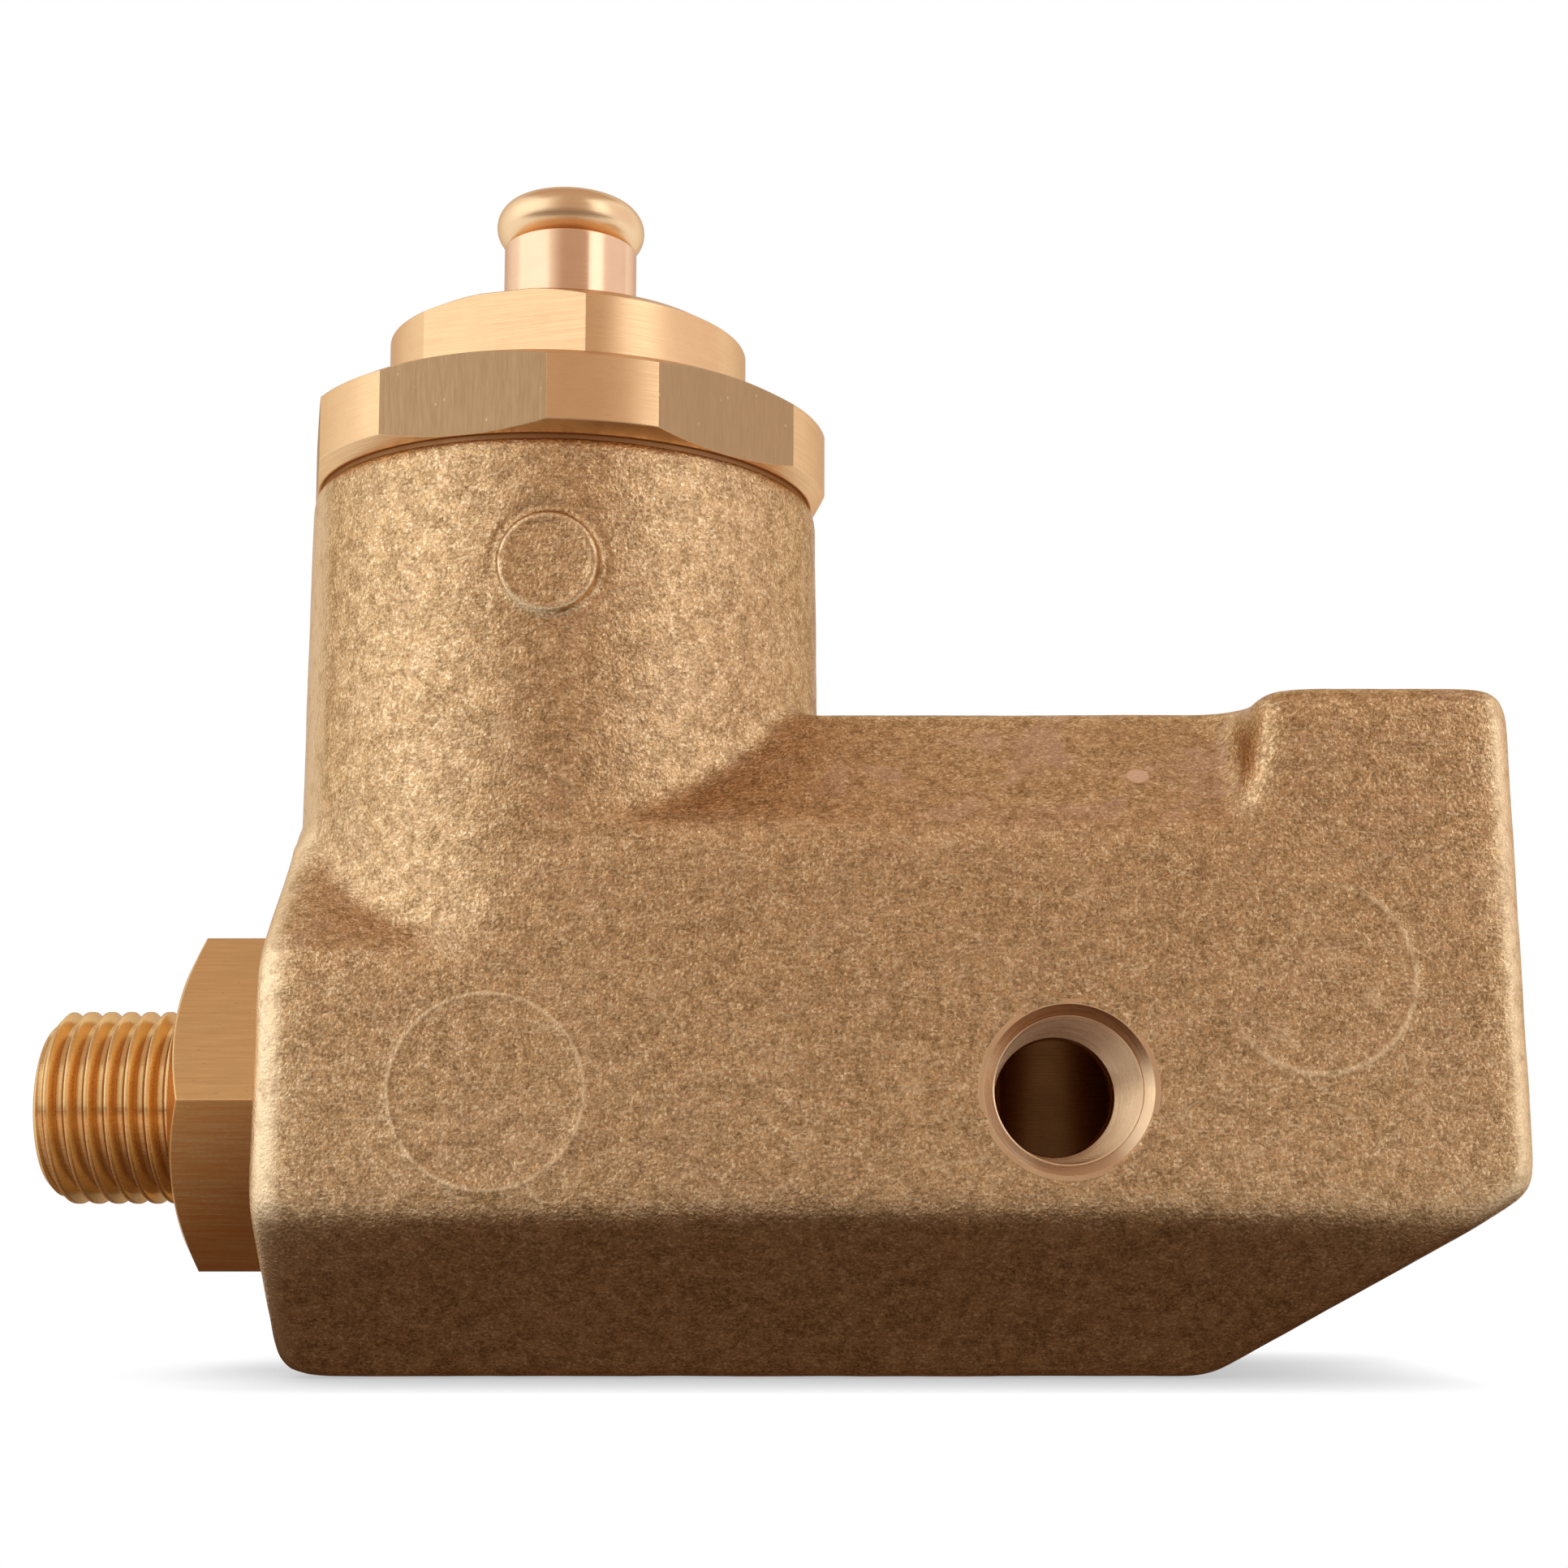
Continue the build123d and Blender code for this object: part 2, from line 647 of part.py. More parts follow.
# ---------------------------------------------------------------- bonnet and its seals
with BuildPart() as bonnet:
    # hexagon with turned corners, coned above and below
    with BuildSketch(Plane.XY.offset(body_top_z)):
        Circle(flange_diameter / 2)
        RegularPolygon(
            flange_flats / 2, 6, major_radius=False, rotation=hex_turn - 30, mode=Mode.INTERSECT
        )
    extrude(amount=flange_height)
    with Locations((0, 0, body_top_z)):
        Cone(
            flange_face_radius,
            flange_cone_radius,
            flange_height,
            align=(Align.CENTER, Align.CENTER, Align.MIN),
            mode=Mode.INTERSECT,
        )
    with Locations((0, 0, body_top_z)):
        Cone(
            flange_cone_radius,
            flange_face_radius,
            flange_height,
            align=(Align.CENTER, Align.CENTER, Align.MIN),
            mode=Mode.INTERSECT,
        )
    # round collar above it, with two spanner flats in line with the hexagon's
    with BuildSketch(Plane.XY.offset(flange_top_z)):
        Circle(collar_diameter / 2)
        Rectangle(
            collar_diameter, collar_flats, rotation=hex_turn - 30, mode=Mode.INTERSECT
        )
    extrude(amount=collar_height)
    # cone turned round the top of the collar
    with BuildSketch(Plane.XZ):
        with BuildLine():
            Polyline(
                (collar_face_radius, collar_top_z),
                (collar_diameter / 2 + overcut, collar_cone_foot_z),
                (collar_diameter / 2 + overcut, collar_top_z),
                close=True,
            )
        make_face()
    revolve(axis=Axis.Z, mode=Mode.SUBTRACT)
    # skirt, undercut for its seal and threaded below
    with BuildSketch(Plane.XY.offset(body_top_z)):
        Circle(mouth_seal_radius - ring_section)
    extrude(amount=-mouth_seal_depth)
    with BuildSketch(Plane.XY.offset(body_top_z - mouth_seal_depth)):
        Circle(bonnet_thread_radius - thread_gap)
    extrude(amount=-(bonnet_thread_length - mouth_seal_depth - loose_gap))
    # spring chamber, gland and the hole for the stem
    with BuildSketch(Plane.XY.offset(body_top_z - bonnet_thread_length)):
        Circle(spring_bore_radius)
    extrude(amount=bonnet_thread_length + ceiling_rise, mode=Mode.SUBTRACT)
    with BuildSketch(Plane.XY.offset(ceiling_z)):
        Circle(gland_radius)
    extrude(amount=ring_gland_z - ceiling_z, mode=Mode.SUBTRACT)
    with BuildSketch(Plane.XY.offset(circlip_z)):
        Circle(gland_radius + circlip_groove_depth)
    extrude(amount=circlip_thickness, mode=Mode.SUBTRACT)
    with BuildSketch(Plane.XY.offset(ring_gland_z)):
        Circle(ring_gland_radius)
    extrude(amount=ring_section, mode=Mode.SUBTRACT)
    with BuildSketch(Plane.XY.offset(ring_gland_top_z)):
        Circle(stem_radius + stem_hole_gap)
    extrude(amount=gland_lip, mode=Mode.SUBTRACT)
bonnet.part.label = "bonnet"

with BuildPart() as bonnet_o_ring:
    with BuildSketch(Plane.XZ):
        with Locations((mouth_seal_radius - ring_section / 2, body_top_z - ring_section / 2 - ring_rest)):
            Circle(ring_section / 2)
    revolve(axis=Axis.Z)
bonnet_o_ring.part.label = "bonnet_o_ring"

with BuildPart() as spindle_o_ring:
    with BuildSketch(Plane.XZ):
        with Locations((stem_radius + ring_section / 2 + running_gap / 2, ring_gland_z + ring_section / 2)):
            Circle(ring_section / 2 - running_gap / 2)
    revolve(axis=Axis.Z)
spindle_o_ring.part.label = "spindle_o_ring"

with BuildPart() as gland_washer:
    with BuildSketch(Plane.XY.offset(bush_top_z)):
        Circle(gland_radius - running_gap)
        Circle(stem_radius + running_gap, mode=Mode.SUBTRACT)
    extrude(amount=gland_washer_thickness)
gland_washer.part.label = "gland_washer"

with BuildPart() as spindle_bush:
    with BuildSketch(Plane.XY.offset(bush_z)):
        Circle(gland_radius - running_gap)
        Circle(stem_radius + running_gap, mode=Mode.SUBTRACT)
    extrude(amount=bush_top_z - bush_z)
spindle_bush.part.label = "spindle_bush"

with BuildPart() as bush_circlip:
    with BuildSketch(Plane.XY.offset(circlip_z)):
        Circle(gland_radius + circlip_groove_depth)
        Circle(gland_radius + circlip_groove_depth - circlip_width, mode=Mode.SUBTRACT)
        with Locations((0, -gland_radius)):
            Rectangle(circlip_gap, 2 * circlip_width + overcut, mode=Mode.SUBTRACT)
    extrude(amount=circlip_thickness)
bush_circlip.part.label = "bush_circlip"

# ---------------------------------------------------------------- export
os.makedirs("parts", exist_ok=True)
pieces = [
    valve_body,
    inlet_nipple,
    nipple_washer,
    seat_ring,
    seat_o_ring,
    poppet,
    guide_ring,
    seat_disc,
    disc_washer,
    disc_nut,
    spindle_lock_nut,
    lift_spindle,
    lower_spring_plate,
    relief_spring,
    upper_spring_plate,
    setting_shim,
    bonnet,
    bonnet_o_ring,
    spindle_o_ring,
    gland_washer,
    spindle_bush,
    bush_circlip,
]
for piece in pieces:
    export_step(piece.part, f"parts/{piece.part.label}.step")
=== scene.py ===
from math import cos, pi, radians, sin

import bmesh
import bpy
import numpy as np
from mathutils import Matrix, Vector


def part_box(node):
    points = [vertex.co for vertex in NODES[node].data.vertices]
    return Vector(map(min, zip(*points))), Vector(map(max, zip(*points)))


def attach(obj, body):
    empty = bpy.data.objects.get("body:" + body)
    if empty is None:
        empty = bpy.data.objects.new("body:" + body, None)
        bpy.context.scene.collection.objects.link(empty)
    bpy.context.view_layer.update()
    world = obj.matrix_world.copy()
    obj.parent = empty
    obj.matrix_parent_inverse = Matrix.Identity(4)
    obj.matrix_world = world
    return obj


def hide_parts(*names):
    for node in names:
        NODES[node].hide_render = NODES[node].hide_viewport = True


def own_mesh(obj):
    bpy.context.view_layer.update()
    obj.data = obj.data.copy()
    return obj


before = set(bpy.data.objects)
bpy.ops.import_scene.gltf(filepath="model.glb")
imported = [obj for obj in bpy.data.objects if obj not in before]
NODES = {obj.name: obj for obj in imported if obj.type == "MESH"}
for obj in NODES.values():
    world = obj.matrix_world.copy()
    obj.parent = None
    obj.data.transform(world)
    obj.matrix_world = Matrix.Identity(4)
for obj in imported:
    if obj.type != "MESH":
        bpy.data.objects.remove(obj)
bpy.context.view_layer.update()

MM = 0.001

# ------------------------------------------------------------------ places on the part, in mm
FRONT = 17.9  # the block's front face is this far towards -y
PORT_X, PORT_Z = 33.4, 18.2  # the front port's axis
FLOW_Z, CROSS_Z = 17.8, 31.5  # heights of the inlet bore and of the cross passage
RUN_TOP, RUN_SLOPE_Z = 43.7, 34.5  # the long run's top, and where its slopes meet the sides
SHOULDER_TOP, SHOULDER_SLOPE_Z = 36.0, 26.8  # the same of the lower shoulder at the inlet
BOSS_X = 45.3  # the square boss's left flank
BARREL_TOP, BARREL_RADIUS, BARREL_FALL = 59.8, 17.45, 0.014  # the draft adds BARREL_FALL per mm
PAD_X, PAD_Z, PAD_RADIUS = 1.0, 51.3, 3.2  # the round cast pad
HEAD_FOOT = 78.2  # the underside of the spindle's head
LEFT_MARK = (-2.4, 18.1, 6.05)  # x, z and radius of the thin circles on the front face
RIGHT_MARK = (48.9, 25.1, 5.9)
CAVITIES = (
    # each one's axis, a point on it, radius, and where it starts and ends along the axis
    (2, (0, 0, 0), 13.19, 26.0, 90.0),  # spring chamber
    (2, (0, 0, 0), 8.21, 12.0, 59.0),  # seat bore
    (0, (0, 0, FLOW_Z), 13.01, -16.52, -16.3),  # spot face round the inlet
    (0, (0, 0, FLOW_Z), 6.59, -16.6, 6.0),  # inlet bore
    (2, (PORT_X, 0, 0), 6.41, 0.01, 37.0),  # outlet bore
    (1, (PORT_X, 0, PORT_Z), 5.39, 0.01 - FRONT, 6.0),  # front port
    (0, (0, 0, CROSS_Z), 3.42, 5.0, PORT_X),  # cross passage
)

# ------------------------------------------------------------------ colours, linear
RIM = (0.60, 0.48, 0.41)  # brass seen at a grazing angle
CAST_RIM = (0.60, 0.47, 0.37)
CAST_DARK = (0.25, 0.14, 0.058)
CAST_LIGHT = (0.94, 0.615, 0.325)
CAST_DUST = (0.74, 0.49, 0.35)
CAST_SPOT = (0.95, 0.66, 0.48)
# bright brass for the painted glints and highlights, and for the fibres and scratches
CAST_PAINTED_GLINT_AND_SCRATCH = (1.0, 0.76, 0.48)
FLAT_DARK, FLAT_LIGHT = (0.49, 0.32, 0.172), (0.525, 0.345, 0.192)  # the hexagon's flats
FLAT_NICK = (0.95, 0.74, 0.46)
ROUND, ROUND_STAIN = (0.91, 0.60, 0.33), (0.82, 0.52, 0.28)  # the bonnet's turned faces
ROUND_LINE, ROUND_EDGE = (0.98, 0.70, 0.40), (0.98, 0.78, 0.50)
STEM, STEM_CLOUD, HEAD = (0.97, 0.665, 0.45), (0.91, 0.60, 0.39), (0.95, 0.68, 0.41)
STEM_LINE, STEM_EDGE = (1.0, 0.74, 0.53), (1.0, 0.78, 0.56)
WHITE = (1.0, 1.0, 1.0)


# ------------------------------------------------------------------ node helpers
class Nodes:
    """Builds one node tree with short calls; each call returns the wanted output socket."""

    def __init__(self, tree):
        self.tree = tree
        tree.nodes.clear()

    def add(self, kind, **settings):
        node = self.tree.nodes.new(kind)
        for key, value in settings.items():
            setattr(node, key, value)
        return node

    def put(self, socket, value):
        """Links a socket to the input, or writes a constant on it."""
        if isinstance(value, bpy.types.NodeSocket):
            self.tree.links.new(value, socket)
            return
        if socket.type == "RGBA" and len(value) == 3:
            value = (*value, 1.0)
        socket.default_value = value

    def place(self):
        """Object coordinates in metres."""
        return self.add("ShaderNodeTexCoord").outputs["Object"]

    def facing(self):
        return self.add("ShaderNodeNewGeometry").outputs["Normal"]

    def coords(self, size=(1.0, 1.0, 1.0), turn=(0.0, 0.0, 0.0), shift=(0.0, 0.0, 0.0)):
        """Object coordinates in millimetres, scaled, turned and shifted."""
        mapping = self.add("ShaderNodeMapping")
        self.put(mapping.inputs["Vector"], self.place())
        mapping.inputs["Scale"].default_value = [s / MM for s in size]
        mapping.inputs["Rotation"].default_value = [radians(a) for a in turn]
        mapping.inputs["Location"].default_value = shift
        return mapping.outputs["Vector"]

    def split(self, vector):
        """The x, y and z sockets of a vector."""
        node = self.add("ShaderNodeSeparateXYZ")
        self.put(node.inputs[0], vector)
        return node.outputs

    def join(self, x, y):
        node = self.add("ShaderNodeCombineXYZ")
        self.put(node.inputs[0], x)
        self.put(node.inputs[1], y)
        return node.outputs[0]

    def noise(self, vector, scale, detail=2.0, rough=0.5, distortion=0.0):
        node = self.add("ShaderNodeTexNoise")
        self.put(node.inputs["Vector"], vector)
        node.inputs["Scale"].default_value = scale
        node.inputs["Detail"].default_value = detail
        node.inputs["Roughness"].default_value = rough
        node.inputs["Distortion"].default_value = distortion
        return node.outputs["Fac"]

    def cells(self, vector, scale, output="Distance"):
        node = self.add("ShaderNodeTexVoronoi")
        self.put(node.inputs["Vector"], vector)
        node.inputs["Scale"].default_value = scale
        return node.outputs[output]

    def map(self, value, low, high, to_low=0.0, to_high=1.0, smooth=True):
        node = self.add("ShaderNodeMapRange")
        node.interpolation_type = "SMOOTHSTEP" if smooth else "LINEAR"
        self.put(node.inputs["Value"], value)
        for name, number in (
            ("From Min", low), ("From Max", high), ("To Min", to_low), ("To Max", to_high)
        ):
            node.inputs[name].default_value = number
        return node.outputs["Result"]

    def maths(self, operation, a, b=0.0):
        node = self.add("ShaderNodeMath", operation=operation)
        self.put(node.inputs[0], a)
        self.put(node.inputs[1], b)
        return node.outputs[0]

    def chain(self, operation, first, *rest):
        """Applies the operation from one value to the next."""
        for value in rest:
            first = self.maths(operation, first, value)
        return first

    def plus(self, *values):
        return self.chain("ADD", *values)

    def times(self, *values):
        return self.chain("MULTIPLY", *values)

    def largest(self, *values):
        return self.chain("MAXIMUM", *values)

    def off(self, value, middle):
        """How far the value lies from the middle."""
        return self.maths("ABSOLUTE", self.maths("SUBTRACT", value, middle))

    def vectors(self, operation, a, b=(0.0, 0.0, 0.0), output="Value"):
        node = self.add("ShaderNodeVectorMath", operation=operation)
        self.put(node.inputs[0], a)
        self.put(node.inputs[1], b)
        return node.outputs[output]

    def mix(self, share, a, b, blend="MIX"):
        node = self.add("ShaderNodeMix", data_type="RGBA", blend_type=blend)
        self.put(node.inputs[0], share)
        self.put(node.inputs[6], a)
        self.put(node.inputs[7], b)
        return node.outputs[2]

    def mix_number(self, share, a, b):
        node = self.add("ShaderNodeMix", data_type="FLOAT")
        self.put(node.inputs[0], share)
        self.put(node.inputs[2], a)
        self.put(node.inputs[3], b)
        return node.outputs[0]

    def bump(self, height, strength, distance, normal=None):
        node = self.add("ShaderNodeBump")
        node.inputs["Strength"].default_value = strength
        node.inputs["Distance"].default_value = distance * MM
        self.put(node.inputs["Height"], height)
        if normal is not None:
            self.put(node.inputs["Normal"], normal)
        return node.outputs["Normal"]

    def round_edges(self, radius):
        node = self.add("ShaderNodeBevel", samples=6)
        node.inputs["Radius"].default_value = radius * MM
        return node.outputs["Normal"]

    def worn_edges(self, radius):
        """1 on sharp edges, 0 on faces: where the rounded and the true normal part."""
        agreement = self.vectors("DOT_PRODUCT", self.round_edges(radius), self.facing())
        return self.map(agreement, 0.995, 0.90)

    def seen(self):
        """1 for the rays that find white: the camera's, and those off metal and through glass."""
        sight = self.add("ShaderNodeLightPath").outputs
        kinds = ("Is Camera Ray", "Is Glossy Ray", "Is Transmission Ray")
        return self.largest(*[sight[kind] for kind in kinds])

    def glow(self, colour):
        shader = self.add("ShaderNodeEmission")
        self.put(shader.inputs["Color"], colour)
        shader.inputs["Strength"].default_value = 1.0
        return shader.outputs[0]

    def output(self, shader, kind="ShaderNodeOutputMaterial"):
        self.put(self.add(kind).inputs["Surface"], shader)

    def surface(self, colour, metal, rough, normal, rim=WHITE):
        shader = self.add("ShaderNodeBsdfPrincipled")
        self.put(shader.inputs["Base Color"], colour)
        shader.inputs["Metallic"].default_value = metal
        shader.inputs["Specular Tint"].default_value = (*rim, 1.0)
        self.put(shader.inputs["Roughness"], rough)
        self.put(shader.inputs["Normal"], normal)
        self.output(shader.outputs["BSDF"])


def material(name):
    made = bpy.data.materials.new(name)
    made.use_nodes = True
    return made, Nodes(made.node_tree)


def toned(colour, factor):
    return tuple(factor * c for c in colour)


# ------------------------------------------------------------------ materials
def ring_mark(n, x, z, radius, width):
    """1 on a thin circle round a line along Y through (x, z), 0 elsewhere; all in mm."""
    flat = n.vectors("MULTIPLY", n.coords(shift=(-x, 0.0, -z)), (1.0, 0.0, 1.0), "Vector")
    return n.map(n.off(n.vectors("LENGTH", flat), radius), 0.0, width, 1.0, 0.0)


def pattern_mark_highlights(n, x, y, z, front):
    """1 on the pad's rim and on the two thin circles, where a highlight is painted; the right
    circle's painted highlight shows on one side only.
    """
    lit_side = n.map(n.maths("SUBTRACT", n.times(x, 0.8), n.times(z, 0.6)), 20.6, 24.6)
    rim = ring_mark(n, PAD_X, PAD_Z, PAD_RADIUS - 0.1, 0.3)
    return n.plus(
        n.times(ring_mark(n, *RIGHT_MARK, 0.28), lit_side, front),
        n.times(ring_mark(n, *LEFT_MARK, 0.2), front),
        n.times(rim, n.map(y, -16.0, -15.0, 1.0, 0.0)),
    )


def cast_fibres(n):
    """1 on short fibres that lie in three directions."""
    ways = (((0, 38, 0), (0, 0, 0)), ((0, -50, 20), (5, 2, 9)), ((0, 80, -15), (3, 7, 1)))
    return n.largest(*[
        n.map(n.noise(n.coords((0.8, 1.6, 7.0), turn, shift), 1.0, 1.0), 0.66, 0.71)
        for turn, shift in ways
    ])


def painted_corner_highlights(n, x, y):
    """1 on the upright corners of the block's two ends, more so at the left end, where a
    highlight is painted.
    """
    face_x, face_y, _ = n.split(n.facing())
    upright = n.map(n.maths("ABSOLUTE", n.times(face_x, face_y)), 0.10, 0.40)
    ends = n.times(n.map(n.off(x, 17.6), 31.5, 33.5), n.map(x, -10.0, 10.0, 1.0, 0.75))
    left_edge = n.times(n.map(x, -14.6, -15.8), n.map(y, -17.2, -16.6, 1.0, 0.0))
    return n.largest(n.times(upright, ends), left_edge)


def cast_brass():
    """Blasted casting: fine pits, mottling, fibres, dust and marks, with painted glints on small
    cells and painted highlights on the marks and the ends' corners.
    """
    made, n = material("cast_brass_blasted")
    place = n.coords()
    x, y, z = n.split(place)
    mottle = n.noise(place, 0.30, 4.0, 0.65)
    patches = n.noise(place, 0.9, 4.0, 0.7)
    grain = n.noise(place, 5.0, 3.0, 0.75, 0.6)
    fine = n.noise(place, 10.0, 2.0, 0.8)
    pits = n.cells(place, 4.5)
    front = n.map(y, -17.4, -17.0, 1.0, 0.0)

    tone = n.plus(
        n.map(grain, 0.38, 0.62, 0.0, 0.46),
        n.map(fine, 0.35, 0.65, 0.0, 0.16),
        n.map(patches, 0.38, 0.62, 0.0, 0.30),
        n.map(mottle, 0.35, 0.65, 0.0, 0.08),
    )
    colour = n.mix(tone, CAST_DARK, CAST_LIGHT)

    # pale dust lies in clouds, most on what faces up on the long run
    up = n.times(n.map(n.split(n.facing())[2], 0.35, 0.75), n.map(x, -6.0, 6.0, 0.35, 1.0))
    clouds = n.map(n.noise(place, 0.22, 4.0, 0.6, 0.4), 0.48, 0.64)
    dust = n.times(clouds, n.plus(n.times(up, 0.75), 0.15), n.map(grain, 0.38, 0.62, 0.45, 1.0))
    colour = n.mix(dust, colour, CAST_DUST)

    # one small bright nick on the run's upper slope
    ragged = n.mix(0.12, place, n.noise(place, 1.2), "ADD")
    nick = n.vectors("DISTANCE", ragged, (38.3, -13.9, 38.4))
    colour = n.mix(n.map(nick, 0.6, 0.85, 0.95, 0.0), colour, CAST_SPOT)

    # painted glints: the brightest of small random cells are coloured bright, standing in for
    # sparkle
    glint_cells = n.add("ShaderNodeSeparateColor")
    n.put(glint_cells.inputs[0], n.cells(place, 6.0, "Color"))
    glints = n.times(n.map(glint_cells.outputs[0], 0.72, 1.0), n.map(patches, 0.4, 0.6, 0.45, 1.0))
    fibres = n.times(cast_fibres(n), n.map(fine, 0.35, 0.6), 0.6)
    # painted highlights along the pad's rim and the two thin circles
    marks = n.times(pattern_mark_highlights(n, x, y, z, front), n.map(patches, 0.36, 0.52, 0.25, 1.0), 0.95)
    # painted highlights down the upright corners of the block's ends
    corners = n.times(painted_corner_highlights(n, x, y), n.map(patches, 0.36, 0.52, 0.55, 1.0))
    line = n.off(n.noise(n.coords((0.16, 1.0, 0.5), (0, 35, 0)), 1.0, 0.0), 0.5)
    scratches = n.times(n.map(line, 0.0, 0.018, 1.0, 0.0), n.map(mottle, 0.47, 0.57), front, 0.45)
    # painted glints and highlights, with the fibres and scratches, all in the bright brass
    for share in (glints, fibres, marks, corners, scratches):
        colour = n.mix(share, colour, CAST_PAINTED_GLINT_AND_SCRATCH)

    rough = n.plus(n.map(grain, 0.3, 0.7, 0.16, 0.10), n.map(patches, 0.38, 0.62, 0.20, 0.10))
    height = n.plus(n.times(pits, 0.8), n.times(grain, 1.2), n.times(fine, 0.5))
    normal = n.bump(patches, 0.5, 0.14, n.bump(height, 0.7, 0.045))
    n.surface(colour, 1.0, rough, normal, CAST_RIM)
    return made


def machined_brass(name, base, rough, lines="z", depth=0.006, edge=0.12, underside_shade=None):
    """Bar brass with tool lines round the turning axis, fine stains and brighter edges.

    Surfaces that face down take a darker colour, a painted shade, where one is given.
    """
    made, n = material(name)
    stretch = {"drawn": (0.22, 6.0, 6.0), "y": (0.2, 9.0, 0.2), "z": (0.25, 0.25, 14.0)}[lines]
    turned = n.noise(n.coords(stretch), 1.0, 4.0, 0.65)
    stains = n.noise(n.coords(), 0.5, 3.0, 0.6)
    specks = n.map(n.cells(n.coords(), 1.3), 0.0, 0.12, 1.0, 0.0)
    dark = toned(base, 0.80)
    light = tuple(min(1.0, 1.05 * c + 0.02) for c in base)
    colour = n.mix(n.map(stains, 0.3, 0.7, 0.0, 0.35), base, dark)
    colour = n.mix(n.map(turned, 0.35, 0.65, 0.35, 0.0), colour, dark)
    colour = n.mix(n.times(n.worn_edges(edge), 0.35), colour, light)
    colour = n.mix(n.times(specks, 0.5), colour, toned(base, 0.35))
    # painted shade: surfaces that face down are coloured darker
    if underside_shade:
        face_x, _, face_z = n.split(n.facing())
        across = n.vectors("LENGTH", n.join(face_x, face_z))
        down = n.maths("DIVIDE", face_z, n.plus(across, 0.06))
        share = n.times(n.map(down, -0.25, -0.80), n.map(turned, 0.35, 0.65, 1.0, 0.55))
        colour = n.mix(share, colour, underside_shade)
    roughness = n.map(n.plus(turned, n.times(stains, 0.5)), 0.45, 1.0, *rough)
    normal = n.bump(turned, 0.5, depth, n.round_edges(edge))
    n.surface(colour, 1.0, roughness, normal, RIM)
    return made


def hexagon_mask(n):
    """1 on the bonnet's hexagon flats, told by how far their planes lie from its axis."""
    x, y, _ = n.split(n.place())
    facing = n.facing()
    radius = n.maths("SQRT", n.plus(n.times(x, x), n.times(y, y)))
    outward = n.join(n.maths("DIVIDE", x, radius), n.maths("DIVIDE", y, radius))
    apothem = n.times(radius, n.vectors("DOT_PRODUCT", facing, outward))
    upright = n.map(n.maths("ABSOLUTE", n.split(facing)[2]), 0.05, 0.2, 1.0, 0.0)
    return n.times(
        n.map(apothem, 17.3 * MM, 17.5 * MM, 1.0, 0.0), upright,
        n.map(apothem, 16.9 * MM, 17.1 * MM, 0.0, 1.0),
    )


def bonnet_brass():
    """The bonnet: vertical grain on the hexagon's flats, turned lines on its other faces."""
    made, n = material("bonnet_bar_brass")
    hexagon = hexagon_mask(n)
    grain = n.noise(n.coords((1.3, 1.3, 0.12)), 1.0, 4.0, 0.6)
    fine_grain = n.noise(n.coords((12.0, 12.0, 0.6)), 1.0, 2.0, 0.6)
    turned = n.noise(n.coords((0.2, 0.2, 16.0)), 1.0, 3.0, 0.6)
    stains = n.noise(n.coords(), 0.6, 3.0, 0.6)
    nicks = n.map(n.cells(n.coords((1.0, 1.0, 0.6)), 1.1), 0.0, 0.10, 1.0, 0.0)

    flat_tone = n.plus(n.times(grain, 0.6), n.times(fine_grain, 0.4))
    flat_colour = n.mix(n.map(flat_tone, 0.35, 0.65), FLAT_DARK, FLAT_LIGHT)
    flat_colour = n.mix(n.times(nicks, 0.7), flat_colour, FLAT_NICK)
    round_colour = n.mix(n.map(stains, 0.3, 0.7, 0.0, 0.4), ROUND, ROUND_STAIN)
    round_colour = n.mix(n.map(turned, 0.4, 0.62, 0.0, 0.3), round_colour, ROUND_LINE)
    colour = n.mix(hexagon, round_colour, flat_colour)
    colour = n.mix(n.times(n.worn_edges(0.12), 0.5), colour, ROUND_EDGE)

    rough_flat = n.map(fine_grain, 0.35, 0.65, 0.54, 0.46)
    rough_round = n.map(turned, 0.35, 0.65, 0.36, 0.27)
    rough = n.mix_number(hexagon, rough_round, rough_flat)
    lines = n.mix_number(hexagon, turned, n.times(fine_grain, 0.5))
    n.surface(colour, 1.0, rough, n.bump(lines, 0.45, 0.008, n.round_edges(0.12)), RIM)
    return made


def polished_brass():
    """The spindle: bright turned and polished, with hairlines round it and a duller head."""
    made, n = material("spindle_polished_brass")
    hairlines = n.noise(n.coords((0.15, 0.15, 22.0)), 1.0, 3.0, 0.6)
    cloud = n.noise(n.coords(), 0.45, 3.0, 0.6)
    head = n.map(n.split(n.coords())[2], HEAD_FOOT, HEAD_FOOT + 0.4)
    colour = n.mix(n.map(cloud, 0.3, 0.7, 0.0, 0.5), STEM, STEM_CLOUD)
    colour = n.mix(head, colour, HEAD)
    colour = n.mix(n.map(hairlines, 0.45, 0.7, 0.0, 0.25), colour, STEM_LINE)
    colour = n.mix(n.times(n.worn_edges(0.1), 0.3), colour, STEM_EDGE)
    rough = n.plus(n.map(hairlines, 0.35, 0.7, 0.15, 0.21), n.times(head, 0.12))
    n.surface(colour, 1.0, rough, n.bump(hairlines, 0.35, 0.003, n.round_edges(0.1)), RIM)
    return made


def plain_metal(name, base, rough, grain_scale=(2.0, 2.0, 2.0)):
    """Inner metal pieces: brushed grain, faint stains and brighter edges."""
    made, n = material(name)
    grain = n.noise(n.coords(grain_scale), 1.5, 3.0, 0.6)
    stains = n.noise(n.coords(), 0.5, 3.0, 0.6)
    light = tuple(min(1, 1.2 * c) for c in base)
    colour = n.mix(n.map(stains, 0.3, 0.7, 0.0, 0.5), base, toned(base, 0.72))
    colour = n.mix(n.times(n.worn_edges(0.1), 0.5), colour, light)
    roughness = n.map(grain, 0.3, 0.7, rough - 0.07, rough + 0.07)
    n.surface(colour, 1.0, roughness, n.bump(grain, 0.4, 0.01, n.round_edges(0.08)))
    return made


